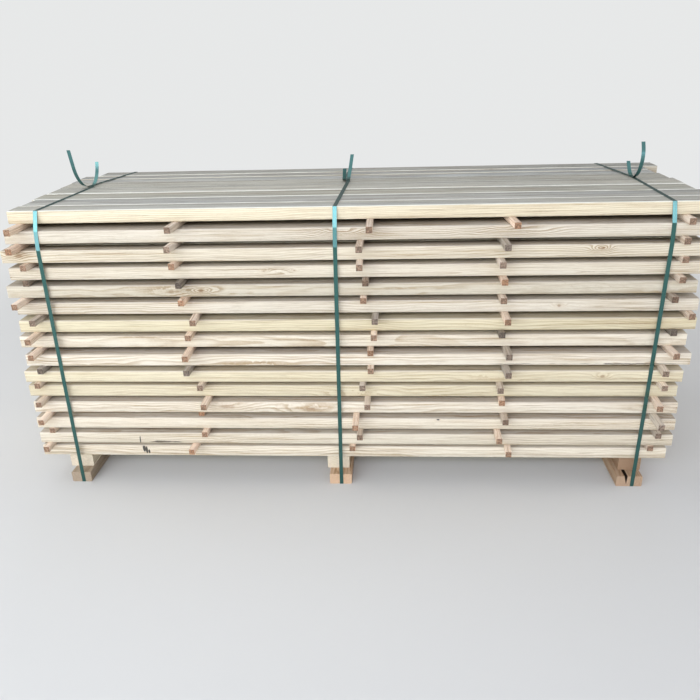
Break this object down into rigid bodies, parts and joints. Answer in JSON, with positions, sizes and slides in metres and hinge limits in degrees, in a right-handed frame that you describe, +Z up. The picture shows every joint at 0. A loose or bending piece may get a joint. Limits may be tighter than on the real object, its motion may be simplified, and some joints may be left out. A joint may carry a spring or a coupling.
{
  "type": "stack of lumber",
  "caption": "Stack of sawn boards in layers kept apart by stickers, on paired bearers, bound with green steel straps whose loose tails curl up on top.",
  "frame": {"origin": "on the ground, at the middle of the boards' nominal length and of the layers' nominal depth", "axes": "+X along the boards, -Y towards the front with the standing-out sticker ends, +Z up"},
  "size_m": [2.852, 1.2149, 1.4088],
  "materials": {
    "board_wood": "rough sawn, cream to grey where weathered",
    "sticker_wood": "rough sawn, orange brown to grey",
    "bearer_wood": "rough sawn",
    "strap_steel": "gloss, dark green"
  },
  "bodies": {
    "root": {"boards_layer_01": "board_wood", "boards_layer_02": "board_wood", "boards_layer_03": "board_wood", "boards_layer_04": "board_wood", "boards_layer_05": "board_wood", "boards_layer_06": "board_wood", "boards_layer_07": "board_wood", "boards_layer_08": "board_wood", "boards_layer_09": "board_wood", "boards_layer_10": "board_wood", "boards_layer_11": "board_wood", "boards_layer_12": "board_wood", "boards_layer_13": "board_wood", "boards_layer_14": "board_wood", "boards_layer_15": "board_wood", "stickers_left_end": "sticker_wood", "stickers_left_middle": "sticker_wood", "stickers_centre": "sticker_wood", "stickers_right_middle": "sticker_wood", "stickers_right_end": "sticker_wood", "bearer_upper_left": "bearer_wood", "bearer_lower_left": "bearer_wood", "strap_left": "strap_steel", "bearer_upper_centre": "bearer_wood", "bearer_lower_centre": "bearer_wood", "strap_centre": "strap_steel", "bearer_upper_right": "bearer_wood", "bearer_lower_right": "bearer_wood", "strap_right": "strap_steel"}
  },
  "joints": []
}
